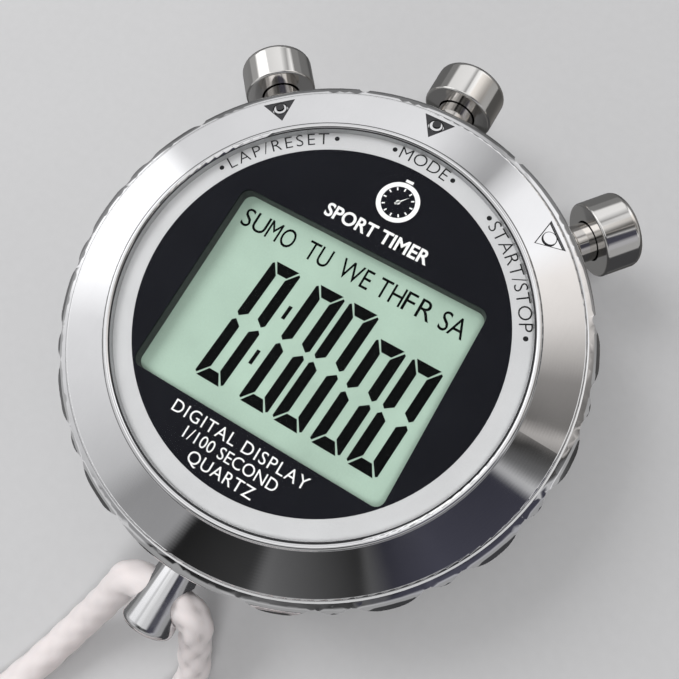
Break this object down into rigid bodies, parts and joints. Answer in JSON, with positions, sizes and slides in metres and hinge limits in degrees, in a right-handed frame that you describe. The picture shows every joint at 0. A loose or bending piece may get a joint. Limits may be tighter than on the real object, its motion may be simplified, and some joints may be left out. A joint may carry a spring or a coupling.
{
  "type": "hand stopwatch",
  "caption": "Round metal hand stopwatch with a scalloped grip, a segment display under a clear lens, push buttons round the top and a lanyard on a post",
  "frame": {"origin": "centre of the case back's flat outer face, which the stopwatch lies on", "axes": "+Z is the face normal, +Y points from the lanyard post to the mode button, +X is to the right of the dial"},
  "size_m": [0.0718, 0.1468, 0.0181],
  "materials": {
    "case_chrome": "polished chrome plate on zinc alloy",
    "bezel_chrome": "mirror-polished chrome plate, turned",
    "back_steel": "brushed stainless steel",
    "black_rubber": "soft black rubber seal",
    "screw_steel": "plated steel",
    "crystal_clear": "clear polished acrylic",
    "silver_dial": "satin silver paint",
    "black_mask": "black printed film",
    "grey_frame": "dark grey moulded plastic",
    "polarizer_film": "grey-green polarizing film",
    "display_glass": "thin soda glass",
    "green_reflector": "grey-green reflective film",
    "zebra_rubber": "layered conductive rubber",
    "module_plastic": "natural moulded plastic",
    "board_laminate": "green solder mask",
    "black_epoxy": "black epoxy potting",
    "can_metal": "drawn metal can",
    "ceramic": "fired ceramic",
    "cell_steel": "nickel-plated steel can",
    "contact_metal": "gold-flashed spring brass",
    "insulator_film": "amber insulating film",
    "buzzer_brass": "rolled brass disc",
    "spring_steel": "drawn spring steel",
    "cap_chrome": "polished chrome plate",
    "sleeve_chrome": "chrome plate, turned",
    "stem_steel": "ground steel pin",
    "post_chrome": "polished chrome plate",
    "white_cord": "braided white polyester",
    "tie_fabric": "black woven hook-and-loop tape"
  },
  "bodies": {
    "case": {"battery_cell": "cell_steel", "battery_clip": "contact_metal", "battery_holder": "module_plastic", "battery_insulator": "insulator_film", "battery_negative_contact": "contact_metal", "buzzer_ceramic": "ceramic", "buzzer_plate": "buzzer_brass", "buzzer_spring": "spring_steel", "case_back": "back_steel", "case_back_gasket": "black_rubber", "case_back_screws": "screw_steel", "case_middle": "case_chrome", "chip_capacitors": "ceramic", "chip_potting": "black_epoxy", "circuit_board": "board_laminate", "coil_tie": "tie_fabric", "contact_leaf_brackets": "contact_metal", "crystal": "crystal_clear", "crystal_gasket": "black_rubber", "dial_mask": "black_mask", "dial_ring": "silver_dial", "front_bezel": "bezel_chrome", "lanyard_coil": "white_cord", "lanyard_cord_left": "white_cord", "lanyard_cord_right": "white_cord", "lanyard_cord_tail": "white_cord", "lanyard_knot": "white_cord", "lanyard_post": "post_chrome", "lap_button_sleeve": "sleeve_chrome", "lap_button_spring": "spring_steel", "lcd_front_glass": "display_glass", "lcd_polarizer": "polarizer_film", "lcd_rear_glass": "display_glass", "lcd_reflector": "green_reflector", "lower_zebra_strip": "zebra_rubber", "mode_button_sleeve": "sleeve_chrome", "mode_button_spring": "spring_steel", "module_frame": "module_plastic", "module_retainer": "module_plastic", "module_screws": "screw_steel", "start_button_sleeve": "sleeve_chrome", "start_button_spring": "spring_steel", "timing_crystal": "can_metal", "upper_zebra_strip": "zebra_rubber", "window_frame": "grey_frame"},
    "lap_button": {"lap_button_cap": "cap_chrome", "lap_button_stem": "stem_steel", "lap_button_clip": "spring_steel", "lap_button_seal": "black_rubber"},
    "lap_leaf": {"lap_button_contact_leaf": "contact_metal"},
    "mode_button": {"mode_button_cap": "cap_chrome", "mode_button_stem": "stem_steel", "mode_button_clip": "spring_steel", "mode_button_seal": "black_rubber"},
    "mode_leaf": {"mode_button_contact_leaf": "contact_metal"},
    "start_button": {"start_button_cap": "cap_chrome", "start_button_stem": "stem_steel", "start_button_clip": "spring_steel", "start_button_seal": "black_rubber"},
    "start_leaf": {"start_button_contact_leaf": "contact_metal"}
  },
  "joints": [
    {"name": "lap_press", "type": "slide", "parent": "case", "child": "lap_button", "axis": [0.6494, -0.7604, 0], "range_m": [0, 0.001], "stiffness_N_per_m": 450, "springref_m": -0.003, "deforming": ["lap_button_spring"]},
    {"name": "lap_contact", "type": "hinge", "parent": "case", "child": "lap_leaf", "pos_m": [-0.01113, 0.02258, 0.0105], "axis": [0, 0, 1], "range_deg": [0, 10.2]},
    {"name": "mode_press", "type": "slide", "parent": "case", "child": "mode_button", "axis": [0, -1, 0], "range_m": [0, 0.001], "stiffness_N_per_m": 450, "springref_m": -0.003, "deforming": ["mode_button_spring"]},
    {"name": "mode_contact", "type": "hinge", "parent": "case", "child": "mode_leaf", "pos_m": [0.0062, 0.0244, 0.0105], "axis": [0, 0, 1], "range_deg": [0, 10.2]},
    {"name": "start_press", "type": "slide", "parent": "case", "child": "start_button", "axis": [-0.6494, -0.7604, 0], "range_m": [0, 0.001], "stiffness_N_per_m": 450, "springref_m": -0.003, "deforming": ["start_button_spring"]},
    {"name": "start_contact", "type": "hinge", "parent": "case", "child": "start_leaf", "pos_m": [0.02056, 0.01453, 0.0105], "axis": [0, 0, 1], "range_deg": [0, 10.2]}
  ],
  "couplings": [
    {"joint": "lap_contact", "follows": "lap_press", "rad_per_m": 175.44},
    {"joint": "mode_contact", "follows": "mode_press", "rad_per_m": 175.44},
    {"joint": "start_contact", "follows": "start_press", "rad_per_m": 175.44}
  ]
}
